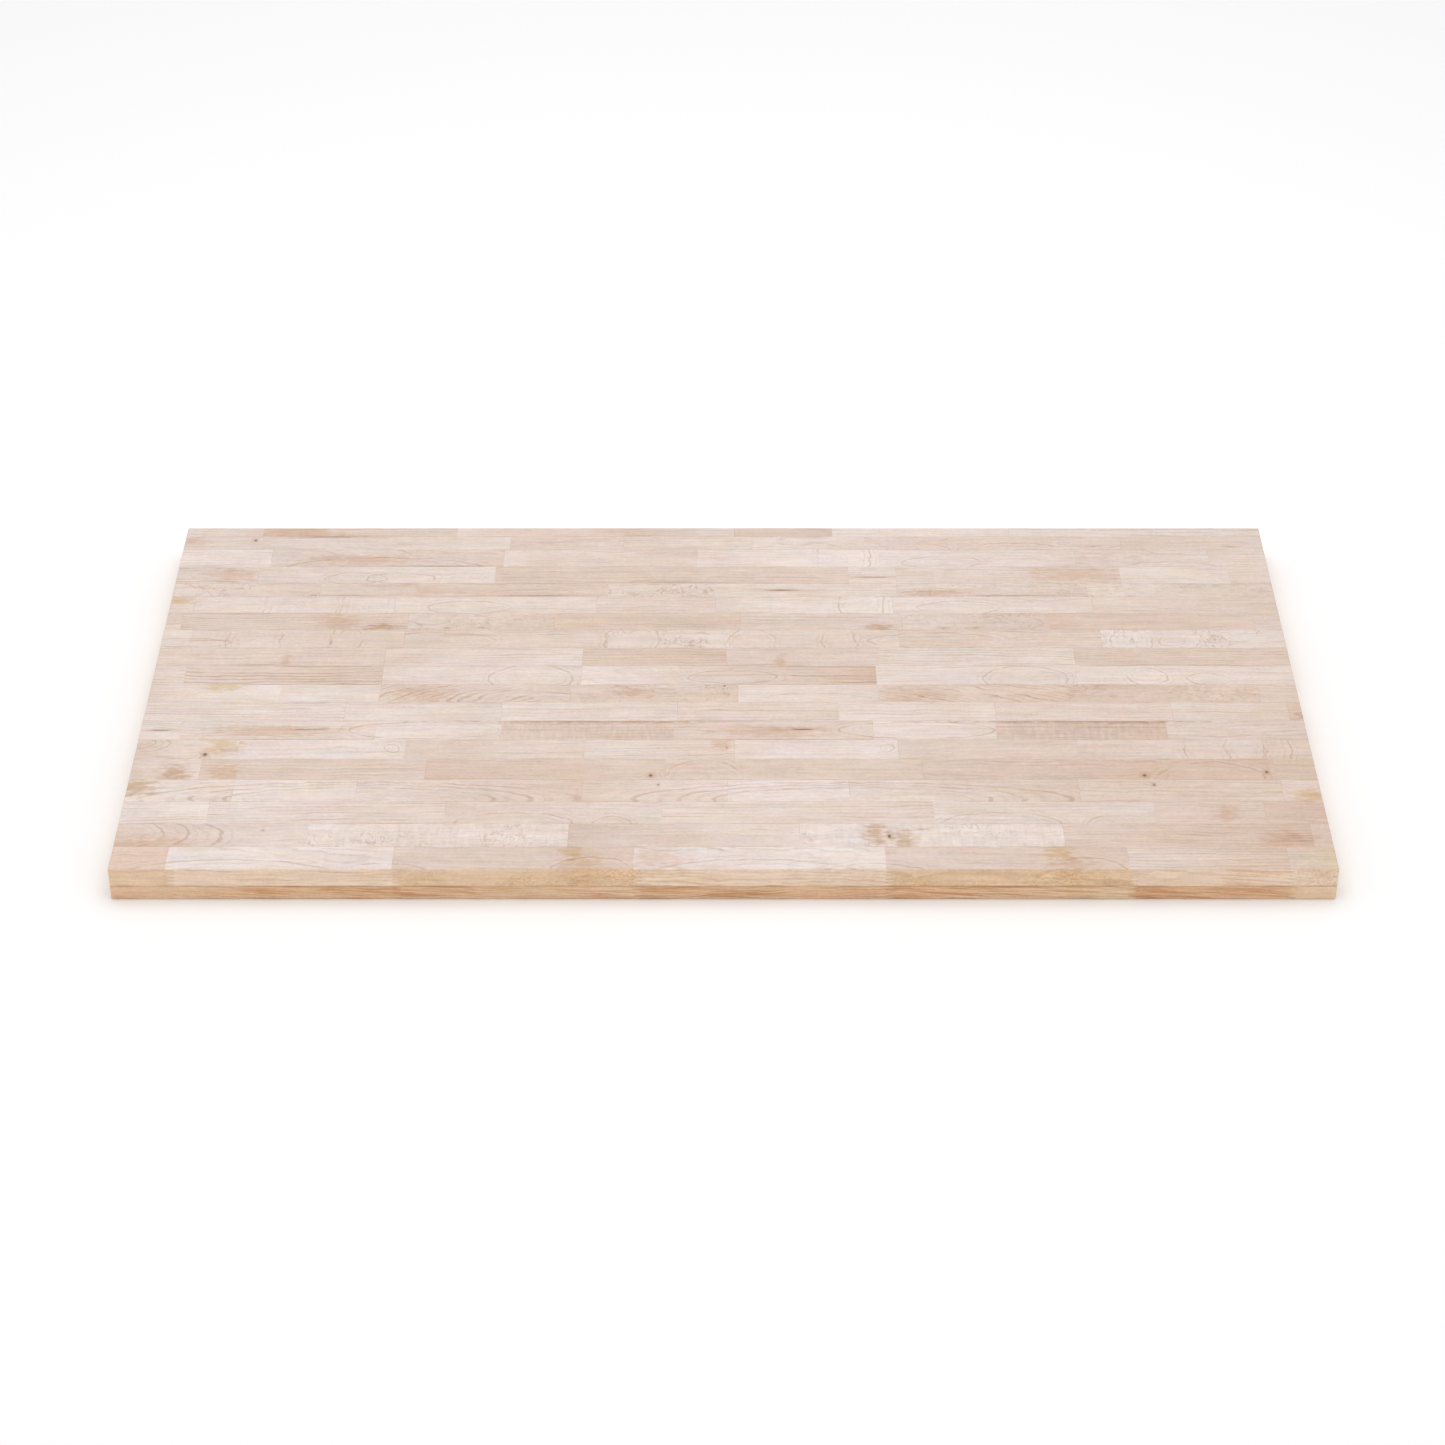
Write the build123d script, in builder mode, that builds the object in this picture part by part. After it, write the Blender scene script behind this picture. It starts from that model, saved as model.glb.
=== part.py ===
from build123d import *
import os

# A butcher block table top: rails of hard maple glued edge to edge. Each rail is a row of short
# blocks, finger-jointed end to end, and each block is an upper and a lower ply glued face to face.
#
# Millimetres. The origin is at the centre of the underside, +X runs along the length to the right,
# +Y from the front edge to the back edge, and +Z is up.

# Driving dimensions of the slab
LENGTH = 1219.2
THICKNESS = 38.1
EASING = 1.5  # radius on every outer edge and corner

# Driving dimensions of the end joints, whose fingers are seen on the front and back edges
FINGERS = 9  # whole fingers in the thickness
LOWER_PLY_FINGERS = 4  # of those, how many are in the lower ply
FINGER_LENGTH = 8.5
FINGER_TIP = 0.8  # flat at the end of a finger

# Cutting list, front rail first: each rail's width, then its end joints' places on the top face,
# measured from the left end. The fingers reach to the right from there.
RAILS = (
    (36.5, (56, 281, 520, 771, 1012, 1171)),
    (38.5, (192, 454, 686, 951, 1200)),
    (37.0, (88, 328, 547, 822, 1046, 1158)),
    (38.0, (109, 235, 466, 614, 738, 973, 1180)),
    (36.0, (71, 303, 550, 815, 1057, 1177)),
    (34.0, (106, 279, 465, 621, 791, 977, 1170)),
    (34.0, (42, 246, 377, 558, 766, 895, 1073)),
    (34.5, (211, 376, 561, 731, 896, 1082, 1205)),
    (32.5, (139, 245, 447, 625, 775, 976, 1178)),
    (35.5, (34, 245, 458, 563, 773, 987)),
    (34.5, (245, 458, 613, 777, 988)),
    (34.5, (31, 263, 484, 616, 800, 1020)),
    (33.5, (17, 265, 425, 628, 805, 966, 1190)),
    (32.5, (27, 248, 470, 601, 796, 1016)),
    (27.0, (163, 270, 482, 600, 802, 1013)),
    (34.5, (91, 355, 749, 802, 1052, 1174)),
    (35.5, (102, 363, 580, 784, 1005, 1155)),
    (27.5, (88, 239, 369, 497, 642, 864, 1059)),
    (19.0, (87, 307, 497, 622, 733, 934)),
)
SINGLE_BLOCK_RAILS = 2  # the rails at the front edge whose every block has a node of its own

# Worked out from the above
DEPTH = sum(width for width, joints in RAILS)
PITCH = THICKNESS / FINGERS
PLIES = {
    "lower": (0, LOWER_PLY_FINGERS),
    "upper": (LOWER_PLY_FINGERS, FINGERS),
}


with BuildPart() as slab:
    Box(LENGTH, DEPTH, THICKNESS, align=(Align.CENTER, Align.CENTER, Align.MIN))
    fillet(slab.edges(), radius=EASING)


def joint_line(x, ply):
    """The zigzag of an end joint up one ply, as points (x, z), with fingers that reach right from x."""
    first, last = PLIES[ply]
    half_tip = FINGER_TIP / 2
    points = [(x, first * PITCH)]
    for finger in range(first, last):
        low, middle, high = finger * PITCH, (finger + 0.5) * PITCH, (finger + 1) * PITCH
        points += [(x, low + half_tip), (x + FINGER_LENGTH, middle - half_tip)]
        points += [(x + FINGER_LENGTH, middle + half_tip), (x, high - half_tip)]
    return points + [(x, last * PITCH)]


def end_line(x, ply):
    """The straight end of the slab up one ply, as points (x, z)."""
    return [(x, height * PITCH) for height in PLIES[ply]]


def block(left, right, back, width, ply):
    """One ply of one block, between two lines of points, cut to the eased outline of the slab."""
    with BuildPart() as wood:
        with BuildSketch(Plane.XZ.offset(-back)):
            with BuildLine():
                Polyline(*left, *reversed(right), close=True)
            make_face()
        extrude(amount=width)
        add(slab.part, mode=Mode.INTERSECT)
    return wood.part.solid()


def rail_blocks(front, width, joints, ply):
    """Every block of one ply of one rail, from left to right."""
    places = [joint - LENGTH / 2 for joint in joints]
    lines = [end_line(-LENGTH / 2, ply)]
    lines += [joint_line(x, ply) for x in places]
    lines += [end_line(LENGTH / 2, ply)]
    return [block(left, right, front + width, width, ply) for left, right in zip(lines, lines[1:])]


def save(shape, name):
    shape.label = name
    export_step(shape, f"parts/{name}.step")


os.makedirs("parts", exist_ok=True)
front = -DEPTH / 2
for number, (width, joints) in enumerate(RAILS, start=1):
    for ply in PLIES:
        blocks = rail_blocks(front, width, joints, ply)
        if number <= SINGLE_BLOCK_RAILS:
            for place, solid in enumerate(blocks, start=1):
                save(solid, f"rail_{number:02}_{ply}_block_{place}")
        else:
            save(Compound(blocks), f"rail_{number:02}_{ply}_blocks")
    front += width
print("depth", DEPTH, "finger pitch", round(PITCH, 3), "ply line", round(LOWER_PLY_FINGERS * PITCH, 2))
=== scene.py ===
import math
import random

import bmesh
import bpy
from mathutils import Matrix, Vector


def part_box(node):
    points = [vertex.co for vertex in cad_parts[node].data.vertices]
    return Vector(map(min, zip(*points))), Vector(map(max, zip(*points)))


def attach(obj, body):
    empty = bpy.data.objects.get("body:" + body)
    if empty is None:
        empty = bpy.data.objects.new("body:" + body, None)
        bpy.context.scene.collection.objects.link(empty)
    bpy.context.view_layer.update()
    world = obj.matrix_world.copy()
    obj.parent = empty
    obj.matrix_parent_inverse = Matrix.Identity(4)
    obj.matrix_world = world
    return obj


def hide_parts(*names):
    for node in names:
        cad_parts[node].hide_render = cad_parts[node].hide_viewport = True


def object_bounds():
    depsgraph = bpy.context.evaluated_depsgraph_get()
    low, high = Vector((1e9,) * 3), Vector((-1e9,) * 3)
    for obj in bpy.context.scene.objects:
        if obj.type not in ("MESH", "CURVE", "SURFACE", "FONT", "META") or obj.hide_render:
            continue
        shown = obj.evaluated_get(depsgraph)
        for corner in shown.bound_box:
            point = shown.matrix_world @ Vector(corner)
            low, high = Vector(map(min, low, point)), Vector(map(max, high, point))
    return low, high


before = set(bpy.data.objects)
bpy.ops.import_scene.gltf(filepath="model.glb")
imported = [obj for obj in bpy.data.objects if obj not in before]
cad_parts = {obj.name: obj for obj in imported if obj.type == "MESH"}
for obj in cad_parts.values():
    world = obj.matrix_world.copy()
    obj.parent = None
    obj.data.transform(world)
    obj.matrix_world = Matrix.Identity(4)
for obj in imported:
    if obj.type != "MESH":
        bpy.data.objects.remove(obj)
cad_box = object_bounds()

# A butcher block table top of pale hard maple. Its CAD nodes hold the blocks of each rail, an upper and
# a lower ply of every block. Here each block becomes one piece of its own, with its own board's grain.

MM = 0.001
LOW, HIGH = cad_box
THICKNESS = HIGH.z - LOW.z
PLY_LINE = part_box("rail_01_upper_block_1")[0].z
EASING = 1.5 * MM  # radius of the slab's outer edges
SAME_PLACE = 0.002 * MM  # corners nearer to each other than this are one
SAME_HEIGHT = 0.01 * MM
JUST_INSIDE = 0.02 * MM  # how far behind a face its wood is tested
FLAT = math.radians(1)  # faces that meet at less than this are one
SOFT_EDGE = math.radians(25)  # edges that bend less than this shade as one surface

# The end joints' fingers, which show on the front and back edges. They reach right from the joint's
# place on the top face.
FINGERS = 9
PITCH = THICKNESS / FINGERS
FINGER_LENGTH = 8.5 * MM
HALF_TIP = 0.4 * MM

FAR_AWAY = 1000  # millimetres: stands for a side of a block that has no glue on it
MARK_DEPTH = 16.0  # millimetres down the edges that a stain reaches
TINY = 0.001  # keeps a mark's measure from being zero where a block has no mark


# ---------------------------------------------------------------------------------- the boards

def tone(red, green, blue):
    """A colour given in ordinary screen numbers, 0 to 255, as the linear colour a shader takes."""
    def linear(part):
        part /= 255
        return part / 12.92 if part < 0.04045 else ((part + 0.055) / 1.055) ** 2.4
    return Vector((linear(red), linear(green), linear(blue)))


TONES = {
    # The faces, from palest to deepest
    "chalk": tone(227, 214, 206),
    "cream": tone(223, 208, 201),
    "pale": tone(221, 205, 196),
    "blush": tone(220, 203, 193),
    "rose": tone(217, 201, 191),
    "peach": tone(217, 198, 186),
    "honey": tone(214, 197, 187),
    "mauve": tone(214, 194, 182),
    "straw": tone(213, 192, 177),
    "sand": tone(210, 188, 173),
    "tan": tone(210, 185, 168),
    "amber": tone(206, 184, 170),
    "taupe": tone(206, 180, 162),
    # Two warmer ones in the front rail
    "apricot": tone(221, 194, 179),
    "wheat": tone(211, 190, 163),
    # The edges, which are warmer than the faces
    "oat": tone(232, 208, 186),
    "corn": tone(226, 196, 164),
    "nut": tone(226, 193, 162),
    "bark": tone(221, 184, 149),
    "cocoa": tone(216, 176, 139),
}

# Every block of every rail, front rail first and from left to right: its tone, or its tones at the
# left and the right end, and how its grain runs.
RAILS = (
    "apricot:plain chalk-cream:arch mauve-sand:fleck cream-chalk:arch mauve-sand:fleck rose-tan:lined"
    " sand-wheat:fleck",
    "mauve-pale:plain cream-blush:curly amber-pale:plain cream-pale:curly mauve-taupe:lined sand:plain",
    "cream-chalk:lined cream-peach:lined peach-rose:plain blush-peach:lined blush-honey:plain"
    " mauve-sand:plain tan-taupe:plain",
    "chalk-blush:plain chalk-pale:plain pale-sand:plain straw-blush:plain cream:plain pale-sand:plain"
    " straw:plain mauve-straw:plain",
    "mauve-cream:plain straw-mauve:lined tan-straw:plain straw:arch sand-taupe:plain taupe:arch tan:plain",
    "straw-cream:arch cream-pale:plain mauve-peach:plain rose-peach:lined blush-cream:plain"
    " mauve-straw:plain mauve-peach:plain straw:lined",
    "pale:lined rose-blush:lined cream-rose:plain straw-amber:ribbed mauve-peach:lined cream-rose:plain"
    " amber-taupe:ribbed honey-mauve:plain",
    "blush-pale:lined pale-rose:plain blush-rose:plain peach:lined pale-blush:plain peach:plain"
    " rose-straw:lined tan:wavy",
    "peach-chalk:plain cream-rose:plain peach-mauve:zebra mauve-straw:swirl pale-honey:plain"
    " peach-tan:zebra tan-straw:swirl straw:plain",
    "peach-pale:lined peach-sand:striped blush-rose:plain cream-peach:arch rose-taupe:striped"
    " pale-rose:plain pale-blush:plain",
    "peach-mauve:plain peach-pale:lined straw-tan:lined mauve:plain rose:lined sand-straw:lined",
    "cream:plain blush-straw:plain mauve-peach:lined blush:vein peach:plain straw-mauve:lined"
    " cream-rose:vein",
    "peach:plain mauve-straw:lined honey-straw:swirl tan-sand:plain mauve-honey:lined rose-amber:swirl"
    " tan-straw:plain mauve:plain",
    "honey-pale:plain blush-pale:plain pale-blush:plain peach-mauve:plain honey-chalk:plain"
    " cream-rose:plain peach-mauve:plain",
    "blush-mauve:vein honey-sand:plain sand-straw:plain blush-honey:vein blush-rose:plain"
    " rose-mauve:swirl rose-straw:swirl",
    "honey-rose:lined honey-pale:plain sand-mauve:lined blush:plain rose-mauve:lined blush-pale:plain"
    " peach:plain",
    "cream:plain honey-mauve:arch blush-mauve:plain blush-chalk:plain cream-honey:plain mauve-rose:arch"
    " mauve-peach:plain",
    "honey-peach:plain honey-rose:plain rose:plain mauve:plain peach-rose:plain pale-mauve:arch"
    " peach-mauve:plain straw-honey:plain",
    "rose-mauve:plain sand-peach:lined blush-sand:plain amber-rose:lined straw-amber:lined"
    " cream-pale:plain cream-rose:lined",
)
# The tones of the front edge's upper and lower ply, block by block, and how its lower ply's grain runs
FRONT_EDGE = {
    "upper": "corn oat corn oat corn oat oat".split(),
    "lower": "bark nut-bark bark-corn bark bark-corn cocoa-bark corn".split(),
}
FRONT_LOWER_FIGURES = "plain streaked streaked streaked streaked streaked plain".split()
# The blocks take turns with these tones on the other edges, and with these tones and figures underneath.
OTHER_EDGES = {"upper": "oat corn oat corn oat".split(), "lower": "nut bark nut cocoa bark".split()}
UNDERSIDE = (
    "pale-cream:plain blush-sand:lined cream:arch rose:plain sand-tan:lined cream-chalk:plain"
    " blush:wavy taupe-sand:lined pale:vein cream-pale:plain rose-sand:striped"
).split()

# How the grain runs. heart: millimetres sideways and down from the block's face to the tree's heart.
# lean: how fast the heart comes nearer along the block. ring: growth ring, in millimetres.
# The rest are strengths: lines (dark late wood), wave (slow bends), curl (ripples across), vein (thin
# dark squiggles) and fleck (short brown flecks on the edges). Most figures share the last three.
USUAL = dict(curl=0.15, vein=0.0, fleck=0.2)
FIGURES = {
    "plain": dict(USUAL, heart=(50, 28), lean=0.02, ring=4.6, lines=0.65, wave=0.6, vein=0.1),
    "lined": dict(USUAL, heart=(80, 14), lean=0.012, ring=4.8, lines=1.2, wave=0.5),
    "fleck": dict(USUAL, heart=(80, 14), lean=0.012, ring=5.0, lines=0.8, wave=0.6, curl=0.2, fleck=1.0),
    "striped": dict(USUAL, heart=(120, 10), lean=0.01, ring=6.6, lines=3.0, wave=0.5, curl=0.1),
    "streaked": dict(USUAL, heart=(26, 60), lean=0.05, ring=3.0, lines=1.6, wave=0.35, curl=0.1, fleck=0.3),
    "arch": dict(USUAL, heart=(4, 30), lean=0.05, ring=3.4, lines=0.9, wave=0.6),
    "zebra": dict(USUAL, heart=(34, 24), lean=0.3, ring=4.6, lines=1.5, wave=0.8),
    "wavy": dict(USUAL, heart=(30, 20), lean=0.05, ring=4.6, lines=1.3, wave=1.6, curl=0.3),
    "swirl": dict(USUAL, heart=(12, 20), lean=0.06, ring=4.4, lines=0.9, wave=2.0, curl=0.3, vein=0.5),
    "curly": dict(USUAL, heart=(50, 40), lean=0.03, ring=4.4, lines=0.5, wave=1.0, curl=0.8, vein=0.8),
    "ribbed": dict(USUAL, heart=(70, 20), lean=0.01, ring=5.4, lines=0.9, wave=0.4, curl=1.0),
    "vein": dict(USUAL, heart=(40, 40), lean=0.03, ring=4.4, lines=0.5, wave=1.0, vein=1.0),
}

# Marks are placed by their rail, millimetres from the left end, and place across the rail from 0 at its
# front to 1 at its back, with half their length and half their width in millimetres.

# Rings that crop out as a bowed line with fainter ones beside it
BOWS = (
    (1, 478, -0.10, 42, 22),
    (1, 968, -0.10, 42, 22),
    (1, 120, -0.60, 120, 38),
    (1, 640, -0.60, 120, 38),
    (1, 270, -0.90, 75, 42),
    (1, 760, -0.90, 75, 42),
    (2, 0, 0.55, 46, 26),
    (2, 0, 0.50, 72, 32),
    (2, 0, 0.45, 106, 38),
    (3, 398, -0.15, 62, 24),
    (3, 497, -0.20, 20, 20),
    (3, 890, -0.15, 64, 24),
    (3, 995, -0.20, 19, 20),
    (4, 240, 0.10, 137, 20),
    (4, 240, 0.10, 172, 25),
    (4, 240, 0.10, 222, 29),
    (4, 740, 0.10, 142, 20),
    (4, 740, 0.10, 178, 25),
    (4, 740, 0.10, 222, 29),
    (5, 590, 0.00, 40, 34),
    (5, 1110, 0.00, 55, 30),
    (6, 4, 0.80, 16, 8),
    (6, 4, 0.80, 30, 15),
    (6, 266, 0.55, 8, 7),
    (6, 779, 0.55, 7, 7),
    (6, 1130, 0.40, 41, 60),
    (6, 1165, 0.40, 34, 60),
    (7, 296, 0.50, 79, 15),
    (7, 812, 0.50, 80, 15),
    (10, 405, 0.35, 45, 24),
    (10, 620, 0.40, 48, 12),
    (10, 932, 0.30, 45, 24),
    (10, 1062, 0.45, 22, 16),
    (10, 1128, 0.30, 24, 10),
    (12, 28, 0.30, 48, 8),
    (12, 100, 0.30, 30, 50),
    (12, 200, 0.35, 17, 30),
    (12, 300, 0.35, 62, 17),
    (12, 510, 0.40, 30, 34),
    (12, 570, 0.40, 14, 10),
    (12, 640, 0.20, 26, 30),
    (12, 736, 0.35, 19, 30),
    (12, 840, 0.40, 72, 15),
    (12, 1052, 0.40, 22, 30),
    (12, 1096, 0.40, 14, 10),
    (14, 145, 0.50, 40, 60),
    (14, 215, 0.40, 27, 40),
    (14, 330, 0.35, 47, 12),
    (14, 762, 0.60, 26, 40),
    (14, 870, 0.35, 46, 12),
    (15, 400, 0.10, 55, 12),
    (15, 840, 0.15, 36, 8),
    (15, 960, 0.00, 60, 9),
    (16, 200, 0.30, 35, 11),
    (16, 250, 0.30, 38, 10),
    (17, 230, -0.10, 110, 22),
    (17, 745, 0.50, 30, 60),
    (17, 855, 0.25, 44, 12),
    (17, 1110, 0.00, 50, 10),
    (18, 830, 0.00, 35, 12),
    (18, 935, 0.00, 60, 14),
)

# Knots, pin knots and short dark streaks
KNOTS = (
    (2, 147, 0.70, 1.8, 1.2),
    (2, 776, 0.45, 2.2, 4.0),
    (2, 808, 0.75, 6.0, 1.0),
    (4, 543, 0.76, 1.3, 2.0),
    (4, 1050, 0.76, 1.6, 2.2),
    (5, 256, 0.50, 46.0, 0.6),
    (5, 535, 0.20, 2.6, 2.8),
    (5, 775, 0.50, 40.0, 0.6),
    (5, 1042, 0.20, 2.6, 2.8),
    (5, 1168, 0.35, 2.2, 2.6),
    (6, 73, 0.22, 2.6, 3.4),
    (6, 613, 0.60, 1.0, 3.0),
    (7, 20, 0.50, 15.0, 1.4),
    (7, 150, 0.03, 90.0, 0.7),
    (7, 172, 0.55, 20.0, 1.2),
    (7, 668, 0.03, 90.0, 0.7),
    (7, 694, 0.55, 18.0, 1.5),
    (11, 112, 0.06, 24.0, 0.8),
    (11, 650, 0.06, 24.0, 0.8),
    (12, 52, 0.42, 24.0, 0.8),
    (12, 184, 0.30, 1.0, 5.0),
    (12, 330, 0.72, 26.0, 0.9),
    (13, 308, 0.12, 4.0, 1.2),
    (13, 345, 0.14, 5.0, 1.0),
    (13, 850, 0.12, 4.0, 1.2),
    (13, 885, 0.12, 5.0, 1.0),
    (15, 185, 0.12, 34.0, 0.9),
    (15, 404, 0.10, 50.0, 1.0),
    (15, 676, 0.50, 22.0, 1.6),
    (15, 926, 0.10, 50.0, 1.0),
    (16, 560, 0.08, 60.0, 0.9),
    (16, 776, 0.38, 26.0, 1.2),
    (17, 290, 0.04, 52.0, 1.0),
    (18, 80, 0.72, 2.2, 2.4),
    (18, 165, 0.95, 46.0, 1.0),
    (18, 1028, 0.25, 6.0, 1.0),
    (18, 1182, 0.25, 6.0, 1.0),
    (19, 165, 0.05, 44.0, 0.9),
)

# Soft patches of stain, and the tint that each multiplies the wood's colour by
GOLD = (0.90, 0.80, 0.60)
BROWN = (0.77, 0.64, 0.50)
RUST = (0.91, 0.81, 0.72)
STAINS = (
    (1, 460, 0.80, 12.0, 14.0, GOLD),
    (1, 468, 0.20, 20.0, 12.0, RUST),
    (1, 545, 0.50, 30.0, 18.0, RUST),
    (1, 944, 0.80, 12.0, 14.0, GOLD),
    (1, 958, 0.20, 20.0, 12.0, RUST),
    (2, 30, 0.05, 44.0, 14.0, RUST),
    (2, 762, 0.55, 11.0, 24.0, BROWN),
    (2, 790, 0.30, 11.0, 16.0, BROWN),
    (2, 1175, 0.25, 28.0, 13.0, RUST),
    (3, 1118, 0.45, 12.0, 12.0, RUST),
    (4, 4, 0.70, 22.0, 16.0, BROWN),
    (4, 1206, 0.25, 15.0, 12.0, GOLD),
    (5, 46, 0.25, 14.0, 15.0, BROWN),
    (5, 96, 0.35, 16.0, 13.0, RUST),
    (6, 90, 0.70, 18.0, 15.0, GOLD),
    (6, 608, 0.75, 9.0, 10.0, RUST),
    (7, 135, 0.42, 62.0, 9.0, RUST),
    (7, 466, 0.98, 120.0, 3.0, BROWN),
    (7, 655, 0.42, 52.0, 9.0, RUST),
    (7, 984, 0.98, 120.0, 3.0, BROWN),
    (9, 80, 0.92, 18.0, 9.0, GOLD),
    (9, 292, 0.45, 32.0, 18.0, RUST),
    (9, 512, 0.55, 22.0, 8.0, RUST),
    (9, 812, 0.45, 34.0, 18.0, RUST),
    (11, 139, 0.30, 5.0, 13.0, RUST),
    (11, 670, 0.30, 6.0, 13.0, RUST),
    (13, 238, 0.15, 16.0, 6.0, BROWN),
    (13, 190, 0.50, 22.0, 14.0, RUST),
    (13, 780, 0.15, 17.0, 6.0, BROWN),
    (14, 10, 0.80, 15.0, 7.0, GOLD),
    (15, 845, 0.30, 36.0, 8.0, RUST),
    (16, 60, 0.50, 30.0, 16.0, RUST),
    (16, 1000, 0.50, 48.0, 16.0, RUST),
    (17, 200, 0.40, 60.0, 10.0, RUST),
    (18, 8, 0.70, 14.0, 8.0, RUST),
    (19, 130, 0.40, 40.0, 8.0, RUST),
)

# The most marks of each kind that a block carries
MOST_BOWS = 3
MOST_KNOTS = 3
MOST_STAINS = 2


def rail_nodes(rail, ply):
    """The CAD nodes that hold one ply of one rail, from left to right."""
    return [name for name in sorted(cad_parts) if name.startswith(f"rail_{rail:02}_{ply}_")]


def joint_places(rail):
    """Where the rail's end joints cross the top face, from left to right."""
    places = []
    for name in rail_nodes(rail, "upper"):
        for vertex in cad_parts[name].data.vertices:
            x = vertex.co.x
            on_top = HIGH.z - vertex.co.z < SAME_HEIGHT
            inside = LOW.x + 2 * EASING < x < HIGH.x - 2 * EASING
            if on_top and inside and all(abs(x - place) > MM for place in places):
                places.append(x)
    return sorted(places)


def zigzag(z):
    """How far to the right of its place an end joint is, at height z."""
    turn = (z - LOW.z) / PITCH % 1
    from_root = min(turn, 1 - turn) * PITCH - HALF_TIP
    return FINGER_LENGTH * min(1, max(0, from_root / (PITCH / 2 - 2 * HALF_TIP)))


# --------------------------------------------------------------------------- shaping one block

def add_ply(shape, rail, ply, place, joints):
    """Adds one ply of a block to the shape: its CAD node, merged, with the rail's other blocks cut off."""
    names = rail_nodes(rail, ply)
    name = names[place] if len(names) > 1 else names[0]
    old = set(shape.verts)
    shape.from_mesh(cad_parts[name].data)
    fresh = [vert for vert in shape.verts if vert not in old]
    faces = {face for vert in fresh for face in vert.link_faces}
    others = []
    for face in faces:
        inside = face.calc_center_median() - face.normal * JUST_INSIDE
        if sum(inside.x > joint + zigzag(inside.z) for joint in joints) != place:
            others.append(face)
    bmesh.ops.delete(shape, geom=others, context="FACES")
    verts = [vert for vert in fresh if vert.is_valid]
    bmesh.ops.remove_doubles(shape, verts=verts, dist=SAME_PLACE)
    verts = [vert for vert in verts if vert.is_valid]
    edges = list({edge for vert in verts for edge in vert.link_edges})
    bmesh.ops.dissolve_limit(shape, angle_limit=FLAT, verts=verts, edges=edges)
    return name


def board(rail, place, figure, ply, left, right, front, back):
    """The grain of one ply: where the tree's heart ran past it, and how its rings were bent."""
    chance = random.Random(rail * 1000 + place * 10 + (ply == "upper"))
    look = FIGURES[figure]
    sideways, down = look["heart"]
    sideways *= chance.choice((-1, 1)) * chance.uniform(0.8, 1.25)
    down *= chance.uniform(0.8, 1.25)
    lean = look["lean"] * chance.choice((-1, 1)) * chance.uniform(0.7, 1.3)
    top = HIGH.z / MM if ply == "upper" else PLY_LINE / MM
    middle = (left + right) / 2 / MM
    return {
        "heart": (middle, (front + back) / 2 / MM + sideways, top - down),
        "lean": (lean * 0.5, lean, look["ring"] * chance.uniform(0.85, 1.2)),
        "figure": (look["lines"], look["wave"], look["curl"]),
        "extra": (look["vein"], chance.uniform(0, 100), look["fleck"]),
    }


def marks_on(marks, rail, left, right, front, back):
    """The marks that touch one block, as (x, y, half length, half width) in millimetres and any tint."""
    found = []
    for on_rail, along, across, half_length, half_width, *tint in marks:
        x = LOW.x + along * MM
        if on_rail == rail and left - half_length * MM < x < right + half_length * MM:
            y = front + across * (back - front)
            found.append((x / MM, y / MM, half_length, half_width, *tint))
    return found


def ply_looks(rail, place, look):
    """The tones of the faces and the edges of each ply of a block, and how its grain runs."""
    # The steps along the lists share no factor with the lists' lengths, so every entry has its turn.
    turn = rail * 3 + place * 2
    under = UNDERSIDE[(rail * 5 + place * 4) % len(UNDERSIDE)]
    looks = {}
    for ply, of_ply in (("upper", look), ("lower", under)):
        face, figure = of_ply.split(":")
        edges = OTHER_EDGES[ply]
        edge = FRONT_EDGE[ply][place] if rail == 1 else edges[turn % len(edges)]
        if rail == 1 and ply == "lower":
            figure = FRONT_LOWER_FIGURES[place]
        sides = {"face": face, "edge": edge}
        ends = {side: [TONES[name] for name in tones.split("-")] for side, tones in sides.items()}
        looks[ply] = ends, figure
    return looks


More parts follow.
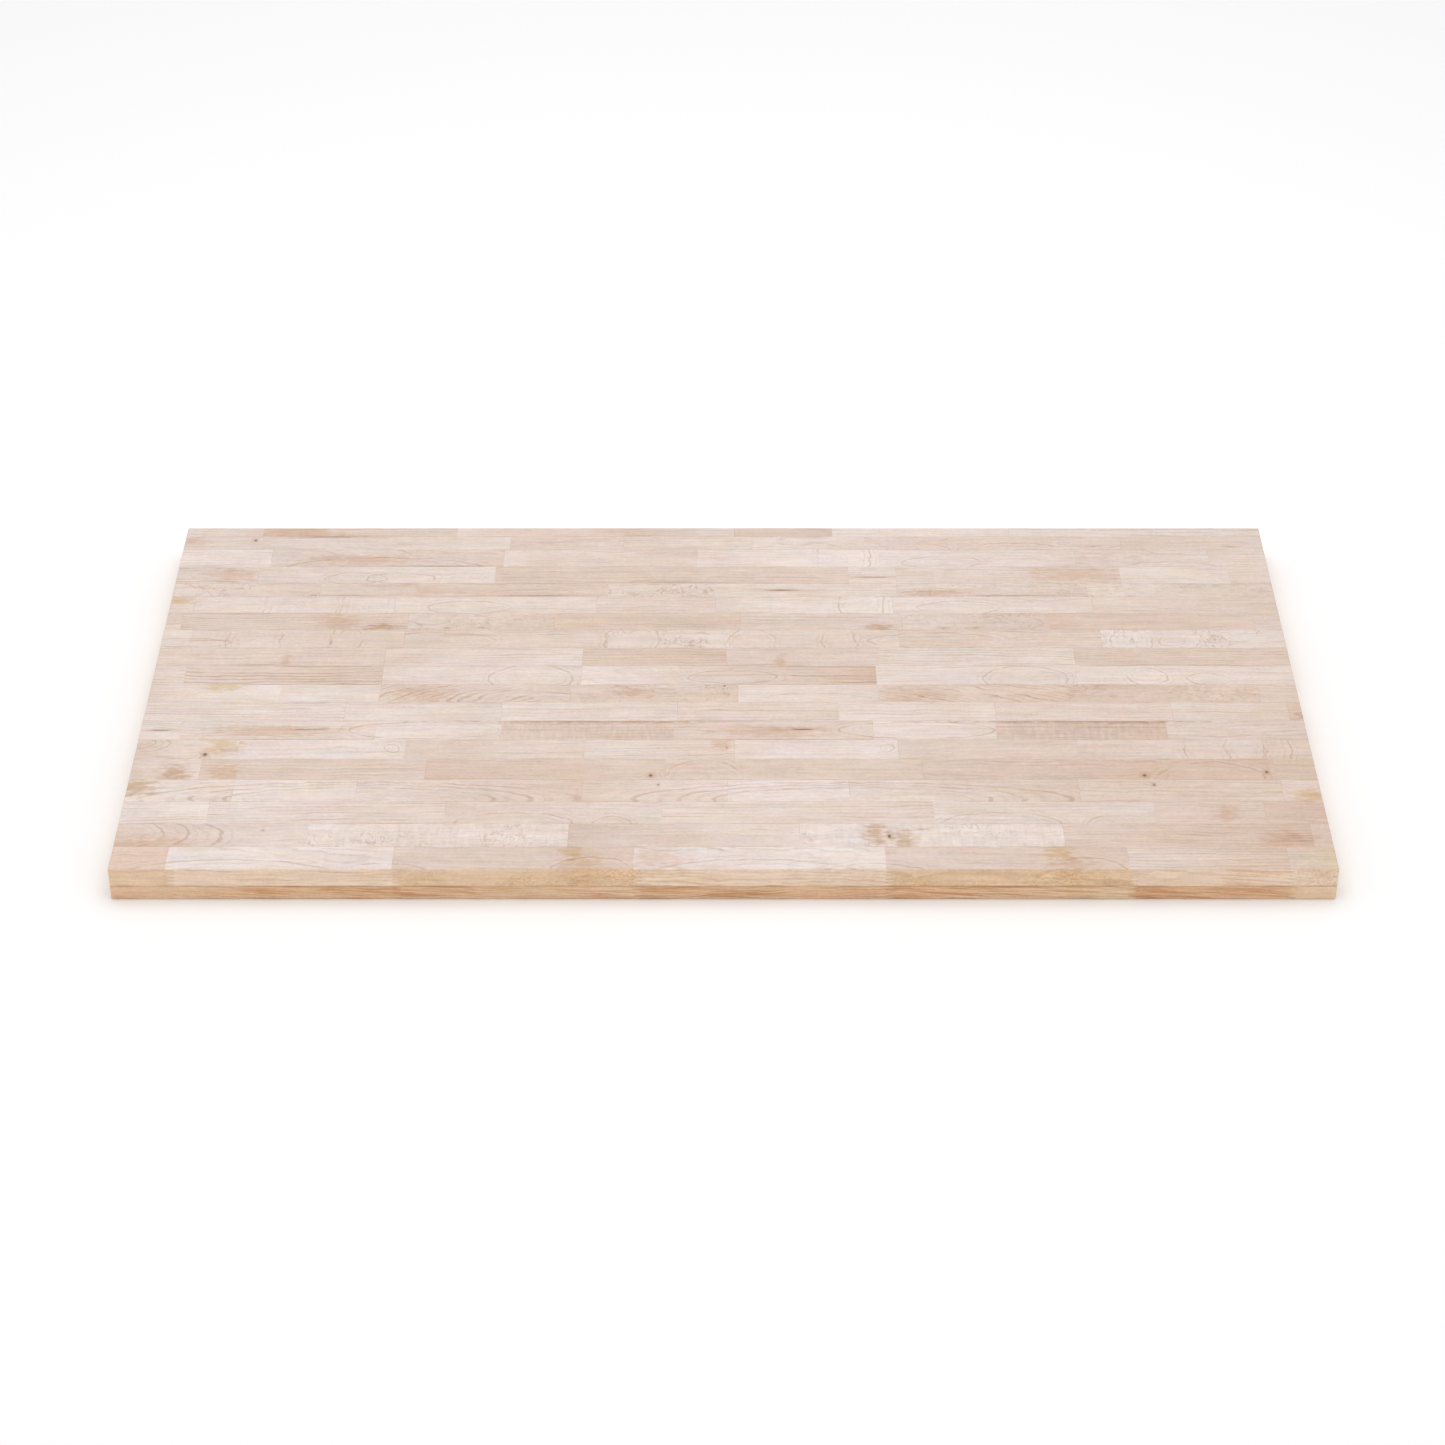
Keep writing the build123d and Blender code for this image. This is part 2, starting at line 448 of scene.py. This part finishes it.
def paint_boards(shape, rail, place, look, left, right, front, back):
    """Gives each face of the block its board's tone and grain, for the wood material to read."""
    looks = ply_looks(rail, place, look)
    boards = {ply: board(rail, place, looks[ply][1], ply, left, right, front, back) for ply in looks}

    tone_layer = shape.loops.layers.float_color.new("tone")
    edge_layer = shape.faces.layers.float.new("on_edge")
    end_layer = shape.faces.layers.float.new("end_grain")
    span_layer = shape.faces.layers.float_color.new("span")
    board_layers = {name: shape.faces.layers.float_vector.new(name) for name in boards["upper"]}
    marks = []
    for kind, listed, limit in (
        ("bow", BOWS, MOST_BOWS), ("knot", KNOTS, MOST_KNOTS), ("stain", STAINS, MOST_STAINS),
    ):
        found = marks_on(listed, rail, left, right, front, back)
        for number in range(limit):
            layer = shape.faces.layers.float_color.new(f"{kind}_{number + 1}")
            if number < len(found):
                marks.append((layer, found[number][:4]))
            if kind == "stain":
                tint_layer = shape.faces.layers.float_color.new(f"stain_{number + 1}_tint")
                if number < len(found):
                    marks.append((tint_layer, (*found[number][4], 1)))

    span = (
        -FAR_AWAY if left == LOW.x else left / MM,
        FAR_AWAY if right == HIGH.x else right / MM,
        -FAR_AWAY if front - LOW.y < EASING else front / MM,
        FAR_AWAY if HIGH.y - back < EASING else back / MM,
    )
    for face in shape.faces:
        centre = face.calc_center_median()
        ply = "upper" if centre.z > PLY_LINE else "lower"
        for name, layer in board_layers.items():
            face[layer] = boards[ply][name]
        face[span_layer] = span
        on_edge = abs(face.normal.z) < 0.5
        face[edge_layer] = on_edge
        face[end_layer] = abs(face.normal.x) > 0.7 and min(centre.x - LOW.x, HIGH.x - centre.x) < EASING
        if ply == "upper":
            for layer, mark in marks:
                face[layer] = mark
        tones = looks[ply][0]["edge" if on_edge else "face"]
        for loop in face.loops:
            along = (loop.vert.co.x - left) / (right - left)
            loop[tone_layer] = (*tones[0].lerp(tones[-1], along), 1)


def make_block(rail, place, look, ends, front, back):
    """One block, both plies, as a piece named after its rail and its place from the left."""
    shape = bmesh.new()
    stands_for = [add_ply(shape, rail, ply, place, ends[1:-1]) for ply in ("lower", "upper")]
    paint_boards(shape, rail, place, look, ends[place], ends[place + 1], front, back)
    for edge in shape.edges:
        edge.smooth = edge.is_manifold and edge.calc_face_angle() < SOFT_EDGE
    for face in shape.faces:
        face.smooth = True
    name = f"rail_{rail:02}_block_{place + 1}"
    mesh = bpy.data.meshes.new(name)
    shape.to_mesh(mesh)
    shape.free()
    piece = bpy.data.objects.new(name, mesh)
    bpy.context.collection.objects.link(piece)
    return piece, stands_for


# ------------------------------------------------------------------------------ the wood finish

# What each of these multiplies the wood's colour by
LATE_WOOD = (0.74, 0.65, 0.57, 1)
SQUIGGLE_BROWN = (0.70, 0.58, 0.48, 1)
FLECK_BROWN = (0.83, 0.71, 0.55, 1)
STREAK_BROWN = (0.76, 0.59, 0.42, 1)
# Painted shade, which darkens the edges just under the ply line
PAINTED_SHADE_BROWN = (0.82, 0.69, 0.55, 1)
HALO_BROWN = (0.75, 0.60, 0.45, 1)
OILED_PORE = (0.80, 0.70, 0.60, 1)
# The colours of a knot's core and of the glue
KNOT_CORE = (*tone(122, 88, 66), 1)
GLUE = (*tone(160, 126, 98), 1)

OIL_IOR = 1.47
BUMP_STRENGTH = 0.35
BUMP_DISTANCE = 0.1 * MM
CENTRE = (0.5, 0.5, 0.5)  # the middle of coloured noise


class Recipe:
    """Adds shader nodes to a material, so that a pattern reads as arithmetic."""

    def __init__(self, name):
        self.material = bpy.data.materials.new(name)
        self.material.use_nodes = True
        self.tree = self.material.node_tree
        self.surface = self.tree.nodes["Principled BSDF"]

    def put(self, kind, **settings):
        node = self.tree.nodes.new(kind)
        for setting, value in settings.items():
            setattr(node, setting, value)
        return node

    def feed(self, socket, value):
        if isinstance(value, bpy.types.NodeSocket):
            self.tree.links.new(value, socket)
        else:
            socket.default_value = value

    def math(self, operation, *values):
        node = self.put("ShaderNodeMath", operation=operation)
        for socket, value in zip(node.inputs, values):
            self.feed(socket, value)
        return node.outputs[0]

    def add(self, *values):
        total = values[0]
        for value in values[1:]:
            total = self.math("ADD", total, value)
        return total

    def times(self, *values):
        total = values[0]
        for value in values[1:]:
            total = self.math("MULTIPLY", total, value)
        return total

    def less(self, value, other):
        return self.math("SUBTRACT", value, other)

    def least(self, *values):
        total = values[0]
        for value in values[1:]:
            total = self.math("MINIMUM", total, value)
        return total

    def most(self, *values):
        total = values[0]
        for value in values[1:]:
            total = self.math("MAXIMUM", total, value)
        return total

    def vector(self, operation, *values):
        node = self.put("ShaderNodeVectorMath", operation=operation)
        for socket, value in zip(node.inputs, values):
            self.feed(socket, value)
        return node.outputs["Value" if operation in ("LENGTH", "DOT_PRODUCT") else "Vector"]

    def split(self, vector):
        node = self.put("ShaderNodeSeparateXYZ")
        self.feed(node.inputs[0], vector)
        return node.outputs

    def join(self, x, y, z):
        node = self.put("ShaderNodeCombineXYZ")
        for socket, value in zip(node.inputs, (x, y, z)):
            self.feed(socket, value)
        return node.outputs[0]

    def between(self, value, low, high, start=0.0, end=1.0, straight=False):
        """Runs from start to end as value goes from low to high, smoothly or in a straight line."""
        node = self.put("ShaderNodeMapRange", interpolation_type="LINEAR" if straight else "SMOOTHSTEP")
        for socket, part in zip(node.inputs, (value, low, high, start, end)):
            self.feed(socket, part)
        return node.outputs[0]

    def noise(self, place, grain, detail=2.0, roughness=0.5, distortion=0.0, colour=False):
        """Noise around 0.5, with grains as long as given along x, y and z."""
        node = self.put("ShaderNodeTexNoise")
        self.feed(node.inputs["Vector"], self.vector("DIVIDE", place, grain))
        self.feed(node.inputs["Scale"], 1.0)
        self.feed(node.inputs["Detail"], detail)
        self.feed(node.inputs["Roughness"], roughness)
        self.feed(node.inputs["Distortion"], distortion)
        return node.outputs["Color" if colour else "Fac"]

    def swing(self, *values, **settings):
        """The same noise, around 0."""
        return self.less(self.noise(*values, **settings), 0.5)

    def mix(self, share, first, second, blend="MIX"):
        node = self.put("ShaderNodeMix", data_type="RGBA", blend_type=blend)
        self.feed(node.inputs["Factor"], share)
        for socket, value in zip((node.inputs[6], node.inputs[7]), (first, second)):
            self.feed(socket, value)
        return node.outputs[2]

    def tint(self, share, colour, by):
        """The colour, with a share of it multiplied by another."""
        return self.mix(share, colour, by, "MULTIPLY")

    def attribute(self, name, output="Vector"):
        return self.put("ShaderNodeAttribute", attribute_name=name).outputs[output]


def offset_from_mark(wood, place, name):
    """Where a point is in a mark's own measure, which is 1 at its outline, and the mark's half sizes."""
    mark = wood.put("ShaderNodeAttribute", attribute_name=name)
    x, y, half_length = wood.split(mark.outputs["Vector"])
    half_length = wood.most(half_length, TINY)
    half_width = wood.most(mark.outputs["Alpha"], TINY)
    here = wood.split(place)
    along = wood.math("DIVIDE", wood.less(here[0], x), half_length)
    across = wood.math("DIVIDE", wood.less(here[1], y), half_width)
    deep = wood.math("DIVIDE", wood.less(HIGH.z / MM, here[2]), MARK_DEPTH)
    return wood.join(along, across, deep), half_length, half_width


def bow_lines(wood, place, own):
    """Bowed ring lines, with fainter ones every few millimetres beside them, and how near they are."""
    wander = wood.vector("SUBTRACT", wood.noise(own, (22, 14, 14), detail=2.5, colour=True), CENTRE)
    wander = wood.vector("MULTIPLY", wander, (14, 7, 3))
    bent = wood.vector("ADD", place, wander)
    lines, nearness = 0.0, 0.0
    for number in range(1, MOST_BOWS + 1):
        offset, half_length, half_width = offset_from_mark(wood, bent, f"bow_{number}")
        along, across, _ = wood.split(offset)
        far = wood.vector("LENGTH", offset)
        steep_along = wood.math("DIVIDE", along, half_length)
        steep_across = wood.math("DIVIDE", across, half_width)
        slope = wood.vector("LENGTH", wood.join(steep_along, steep_across, 0.02))
        outside = wood.math("DIVIDE", wood.times(wood.less(far, 1.0), far), slope)  # millimetres
        aside = wood.math("ABSOLUTE", outside)
        main = wood.between(aside, 1.1, 0.35)
        echo = wood.between(wood.math("PINGPONG", outside, 2.6), 0.9, 0.3)
        echo = wood.times(echo, wood.between(aside, 12.0, 1.0, 0.0, 0.55))
        is_real = wood.between(half_width, 0.5, 1.0)
        lines = wood.most(lines, wood.times(wood.most(main, echo), is_real))
        nearness = wood.most(nearness, wood.times(wood.between(aside, 16.0, 4.0), is_real))
    fading = wood.between(wood.noise(own, (34, 20, 20), detail=1.0), 0.34, 0.54, 0.25, 1.0)
    on_face = wood.less(1.0, wood.attribute("on_edge", "Fac"))
    return wood.times(lines, fading, on_face), wood.times(nearness, on_face)


def glue_lines(wood, place):
    """Thin brown lines where the block meets its neighbours, following the fingers on the edges."""
    span = wood.put("ShaderNodeAttribute", attribute_name="span")
    left, right, front = wood.split(span.outputs["Vector"])
    back = span.outputs["Alpha"]
    x, y, z = wood.split(place)
    on_edge = wood.attribute("on_edge", "Fac")

    from_root = wood.math("PINGPONG", wood.times(wood.less(z, LOW.z / MM), MM / PITCH), 0.5)
    from_root = wood.less(wood.times(from_root, PITCH / MM), HALF_TIP / MM)
    slope_height = (PITCH / 2 - 2 * HALF_TIP) / MM
    finger = wood.between(from_root, 0.0, slope_height, 0.0, FINGER_LENGTH / MM, straight=True)
    from_ends = wood.least(wood.less(x, wood.add(left, finger)), wood.less(wood.add(right, finger), x))
    from_ends = wood.times(from_ends, wood.between(on_edge, 0.0, 1.0, 1.0, 0.15))  # fingers lie nearly flat
    from_sides = wood.least(wood.less(y, front), wood.less(back, y))
    from_ply_line = wood.math("ABSOLUTE", wood.less(z, PLY_LINE / MM))
    half_width = wood.between(on_edge, 0.0, 1.0, 0.45, 0.3)
    fine = wood.times(half_width, 0.4)
    uneven = wood.noise(place, (34, 26, 60), detail=2.0)
    return wood.most(
        wood.times(wood.between(from_ends, half_width, fine), wood.between(uneven, 0.35, 0.65, 0.02, 0.3)),
        wood.times(wood.between(from_sides, half_width, fine), wood.between(uneven, 0.35, 0.65, 0.05, 0.6)),
        wood.times(wood.between(from_ply_line, 0.6, 0.25), wood.between(uneven, 0.38, 0.62, 0.15, 0.95)),
    )


def growth_rings(wood, place, own, push):
    """The dark late wood of a leaning tree's rings, which sway slowly, ripple, and are pushed by knots."""
    lean_y, lean_z, ring = wood.split(wood.attribute("lean"))
    lines, wave, _ = wood.split(wood.attribute("figure"))
    _, seed, _ = wood.split(wood.attribute("extra"))
    sway = wood.vector("SUBTRACT", wood.noise(own, (120, 34, 34), colour=True), CENTRE)
    _, sway_y, sway_z = wood.split(sway)
    ripple = wood.swing(own, (34, 22, 22), detail=1.0, distortion=0.6)
    jitter = wood.swing(own, (18, 4, 4), detail=2.0)
    off_x, off_y, off_z = wood.split(wood.vector("SUBTRACT", place, wood.attribute("heart")))
    side = wood.add(off_y, wood.times(off_x, lean_y), wood.times(sway_y, wave, 24.0))
    down = wood.add(off_z, wood.times(off_x, lean_z), wood.times(sway_z, wave, 24.0))
    out = wood.add(
        wood.vector("LENGTH", wood.join(side, down, 0.0)),
        wood.times(ripple, wave, 9.0),
        wood.times(jitter, wood.add(0.8, wood.times(wave, 2.2))),
        wood.times(push, 2.0),
    )
    rings = wood.math("DIVIDE", out, ring)
    within = wood.math("FRACT", rings)
    strength = wood.put("ShaderNodeTexWhiteNoise", noise_dimensions="1D")
    wood.feed(strength.inputs["W"], wood.add(wood.math("FLOOR", rings), seed))
    late = wood.times(
        wood.between(within, 0.5, 0.88),
        wood.between(within, 1.0, 0.93),
        wood.between(strength.outputs["Value"], 0.0, 1.0, 0.25, 1.0),
        wood.between(wood.noise(own, (60, 12, 12), detail=1.0), 0.3, 0.62, 0.2, 1.15),
    )
    return wood.times(late, lines, 0.6)


def maple():
    """Sanded and oiled hard maple: growth rings of a leaning tree, cut by the block's faces."""
    wood = Recipe("hard_maple")
    coordinates = wood.put("ShaderNodeTexCoord").outputs["Object"]
    place = wood.vector("MULTIPLY", coordinates, (1 / MM, 1 / MM, 1 / MM))  # millimetres from here on
    lines, _, curl = wood.split(wood.attribute("figure"))
    vein, seed, fleck = wood.split(wood.attribute("extra"))
    shift = wood.join(wood.times(seed, 71.0), wood.times(seed, 13.0), wood.times(seed, 37.0))
    own = wood.vector("ADD", place, shift)  # no two boards share a pattern
    end = wood.attribute("end_grain", "Fac")
    on_edge = wood.attribute("on_edge", "Fac")

    # Knots and streaks push the rings aside.
    knots = []
    push = 0.0
    for number in range(1, MOST_KNOTS + 1):
        offset, half_length, size = offset_from_mark(wood, place, f"knot_{number}")
        x, y, _ = wood.split(offset)
        far = wood.vector("LENGTH", wood.join(x, y, 0.0))
        knots.append((far, wood.between(wood.least(half_length, size), 0.2, 1.8, straight=True)))
        push = wood.add(push, wood.times(size, wood.math("EXPONENT", wood.times(far, far, -0.1))))

    late = growth_rings(wood, place, own, push)
    bow, near_bow = bow_lines(wood, place, own)
    late = wood.times(late, wood.between(near_bow, 0.0, 1.0, 1.0, 0.35))
    dark_grain = wood.least(wood.add(late, wood.times(bow, 0.7)), 1.0)

    # Fibres, short rays and slow changes of light and hue.
    fibre = wood.swing(own, (45, 1.1, 1.1), detail=3.0, roughness=0.6)
    streak = wood.swing(own, (110, 4.5, 4.5), detail=2.0)
    mottle = wood.swing(own, (16, 7, 7), detail=2.0)
    cloud = wood.swing(own, (75, 24, 24), detail=2.0)
    flame = wood.swing(own, (3.6, 20, 20), detail=1.0, distortion=0.4)
    rays = wood.between(wood.noise(own, (2.6, 0.6, 0.6), detail=1.0), 0.64, 0.74)
    hue = wood.vector("SUBTRACT", wood.noise(own, (60, 11, 11), colour=True, detail=3.0), CENTRE)
    golden, pink, _ = wood.split(hue)
    grit = wood.swing(own, (4, 2.2, 2.2), detail=2.0)

    # Thin dark squiggles that cross the grain in patches, and short brown flecks on the edges.
    thread = wood.math("ABSOLUTE", wood.swing(own, (12, 15, 15), detail=1.5, distortion=1.2))
    patch = wood.between(wood.noise(own, (50, 36, 36), detail=1.0), 0.48, 0.58)
    squiggle = wood.times(wood.between(thread, 0.045, 0.01), patch, vein)
    flecks = wood.between(wood.noise(own, (3.4, 1.8, 1.8), detail=1.0, distortion=1.2), 0.47, 0.58)
    fleck_patch = wood.between(wood.noise(own, (90, 60, 60)), 0.4, 0.56, 0.15, 1.0)
    flecks = wood.times(flecks, fleck, on_edge, fleck_patch)

    # Brown streaks that slant a little along the edges, and painted shade: a brown band that darkens the
    # edges just under the ply line.
    x, _, z = wood.split(place)
    slanted = wood.vector("ADD", own, wood.join(0.0, 0.0, wood.times(x, 0.05)))
    brown_streak = wood.between(wood.noise(slanted, (60, 5, 2.4), detail=3.0, roughness=0.6), 0.44, 0.6)
    brown_patch = wood.between(wood.noise(own, (110, 60, 60), detail=1.0), 0.38, 0.6, 0.35, 1.0)
    brown_streak = wood.times(brown_streak, brown_patch, on_edge, wood.between(lines, 0.6, 1.6, 0.1, 1.0))
    below = wood.less(PLY_LINE / MM, z)
    painted_shade_under_ply_line = wood.times(
        wood.between(below, 3.6, 0.2), wood.between(below, -0.1, 0.1), on_edge, brown_patch,
    )

    light = wood.add(
        1.03,
        wood.times(fibre, 0.19),
        wood.times(streak, 0.24),
        wood.times(mottle, 0.2),
        wood.times(grit, 0.24),
        wood.times(cloud, 0.18),
        wood.times(flame, curl, 0.3),
        wood.times(rays, -0.12),
    )
    shade = wood.join(
        wood.times(light, wood.add(1.0, wood.times(pink, 0.06))),
        wood.times(light, wood.add(1.0, wood.times(golden, -0.12), wood.times(pink, -0.12))),
        wood.times(light, wood.add(1.0, wood.times(golden, -0.4))),
    )
    colour = wood.tint(1.0, wood.attribute("tone", "Color"), shade)
    colour = wood.tint(dark_grain, colour, LATE_WOOD)
    colour = wood.tint(wood.times(squiggle, 0.6), colour, SQUIGGLE_BROWN)
    colour = wood.tint(wood.times(flecks, 0.8), colour, FLECK_BROWN)
    colour = wood.tint(brown_streak, colour, STREAK_BROWN)
    # Painted shade under the ply line
    colour = wood.tint(wood.times(painted_shade_under_ply_line, 0.55), colour, PAINTED_SHADE_BROWN)

    # Stains are soft and ragged; knots have a dark core in a warm halo.
    ragged = wood.swing(own, (11, 3.5, 3.5), detail=3.0)
    for number in range(1, MOST_STAINS + 1):
        offset, _, size = offset_from_mark(wood, place, f"stain_{number}")
        far = wood.add(wood.vector("LENGTH", offset), wood.times(ragged, 3.0))
        streaky = wood.add(1.05, wood.times(fibre, 1.6), wood.times(ragged, -1.2))
        share = wood.times(wood.between(far, 1.6, 0.1), wood.between(size, 0.5, 1.0), streaky)
        colour = wood.tint(share, colour, wood.attribute(f"stain_{number}_tint", "Color"))
    for far, strength in knots:
        rough_far = wood.add(far, wood.times(ragged, 0.8))
        halo = wood.times(wood.between(rough_far, 3.2, 0.8), strength, 0.5)
        colour = wood.tint(halo, colour, HALO_BROWN)
        core = wood.times(wood.between(rough_far, 1.15, 0.35), strength, 0.9)
        colour = wood.mix(core, colour, KNOT_CORE)

    # End grain drinks more oil and shows its pores.
    pores = wood.between(wood.noise(own, (3, 0.35, 0.35), detail=1.0), 0.6, 0.72)
    oil = wood.times(end, wood.between(pores, 0, 1, 0.55, 0.95))
    colour = wood.tint(oil, colour, OILED_PORE)

    glue = glue_lines(wood, place)
    colour = wood.mix(glue, colour, GLUE)
    wood.feed(wood.surface.inputs["Base Color"], colour)

    rough = wood.add(
        0.46,
        wood.times(dark_grain, 0.06),
        wood.times(fibre, 0.16),
        wood.times(end, 0.2),
        wood.times(glue, 0.15),
        wood.times(cloud, 0.14),
    )
    wood.feed(wood.surface.inputs["Roughness"], rough)
    wood.surface.inputs["IOR"].default_value = OIL_IOR

    height = wood.add(
        wood.times(dark_grain, -0.5),
        wood.times(fibre, 0.5),
        wood.times(rays, -0.4),
        wood.times(flame, curl, 0.5),
        wood.times(glue, -0.8),
        wood.times(pores, end, -1.0),
    )
    bump = wood.put("ShaderNodeBump")
    bump.inputs["Strength"].default_value = BUMP_STRENGTH
    bump.inputs["Distance"].default_value = BUMP_DISTANCE
    wood.feed(bump.inputs["Height"], height)
    wood.feed(wood.surface.inputs["Normal"], bump.outputs["Normal"])
    return wood.material


# ----------------------------------------------------------------------------- the whole table top

def build_top(finish):
    """Every block of every rail, each riding on the slab's one body in place of its CAD nodes."""
    for rail, looks in enumerate(RAILS, start=1):
        looks = looks.split()
        ends = [LOW.x, *joint_places(rail), HIGH.x]
        if len(looks) != len(ends) - 1:
            raise ValueError(f"rail {rail} has {len(ends) - 1} blocks and {len(looks)} looks")
        nearest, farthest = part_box(rail_nodes(rail, "upper")[0])
        for place, look in enumerate(looks):
            piece, stands_for = make_block(rail, place, look, ends, nearest.y, farthest.y)
            piece.data.materials.append(finish)
            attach(piece, "root")
            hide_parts(*stands_for)


# --------------------------------------------------------------------------------- the studio

# Metres, unless something else is said
FLOOR_REACH = 12  # from the floor's middle to each of its sides
FLOOR_GAP = 0.2 * MM  # between the floor and the slab's underside
WHITE = (1, 1, 1, 1)
PAPER_WHITE = (0.97, 0.97, 0.97, 1)
PAPER_ROUGHNESS = 0.9
SURROUNDINGS = 0.84  # strength of the light from all around

CAMERA_X = -0.001
CAMERA_IN_FRONT = 2.707  # of the front edge
CAMERA_ABOVE = 2.0945  # the top face
CAMERA_TILT = 35.3  # degrees down from level
CAMERA_LENS = 86.1  # millimetres
SENSOR_WIDTH = 36  # millimetres


def make_floor():
    """A wide pale floor under the slab."""
    shape = bmesh.new()
    bmesh.ops.create_grid(shape, x_segments=1, y_segments=1, size=FLOOR_REACH)
    bmesh.ops.translate(shape, verts=shape.verts, vec=(0, 0, LOW.z - FLOOR_GAP))
    mesh = bpy.data.meshes.new("studio_floor")
    shape.to_mesh(mesh)
    shape.free()
    floor = bpy.data.objects.new("studio_floor", mesh)
    bpy.context.collection.objects.link(floor)
    paper = bpy.data.materials.new("pale_paper")
    paper.use_nodes = True
    surface = paper.node_tree.nodes["Principled BSDF"]
    surface.inputs["Base Color"].default_value = PAPER_WHITE
    surface.inputs["Roughness"].default_value = PAPER_ROUGHNESS
    mesh.materials.append(paper)


def soft_light(name, place, target, size, watts):
    """A round lamp, size across, that faces the target."""
    light = bpy.data.lights.new(name, "AREA")
    light.shape = "DISK"
    light.size = size
    light.energy = watts
    lamp = bpy.data.objects.new(name, light)
    bpy.context.collection.objects.link(lamp)
    lamp.location = place
    lamp.rotation_euler = (Vector(target) - Vector(place)).to_track_quat("-Z", "Y").to_euler()


def make_light():
    """Even white surroundings and one large soft lamp overhead."""
    world = bpy.data.worlds.new("studio")
    world.use_nodes = True
    background = world.node_tree.nodes["Background"]
    background.inputs["Color"].default_value = WHITE
    background.inputs["Strength"].default_value = SURROUNDINGS
    bpy.context.scene.world = world
    soft_light("overhead", place=(0, 0.2, 2.8), target=(0, 0, 0), size=2.6, watts=24)


def make_camera():
    """Stands in front of the slab's middle and looks down at it."""
    camera = bpy.data.cameras.new("camera")
    camera.sensor_width = SENSOR_WIDTH
    camera.lens = CAMERA_LENS
    stand = bpy.data.objects.new("camera", camera)
    bpy.context.collection.objects.link(stand)
    stand.location = (CAMERA_X, LOW.y - CAMERA_IN_FRONT, HIGH.z + CAMERA_ABOVE)
    stand.rotation_euler = (math.radians(90 - CAMERA_TILT), 0, 0)
    bpy.context.scene.camera = stand


make_camera()
make_light()
make_floor()
build_top(maple())
bpy.context.scene.view_settings.view_transform = "Standard"
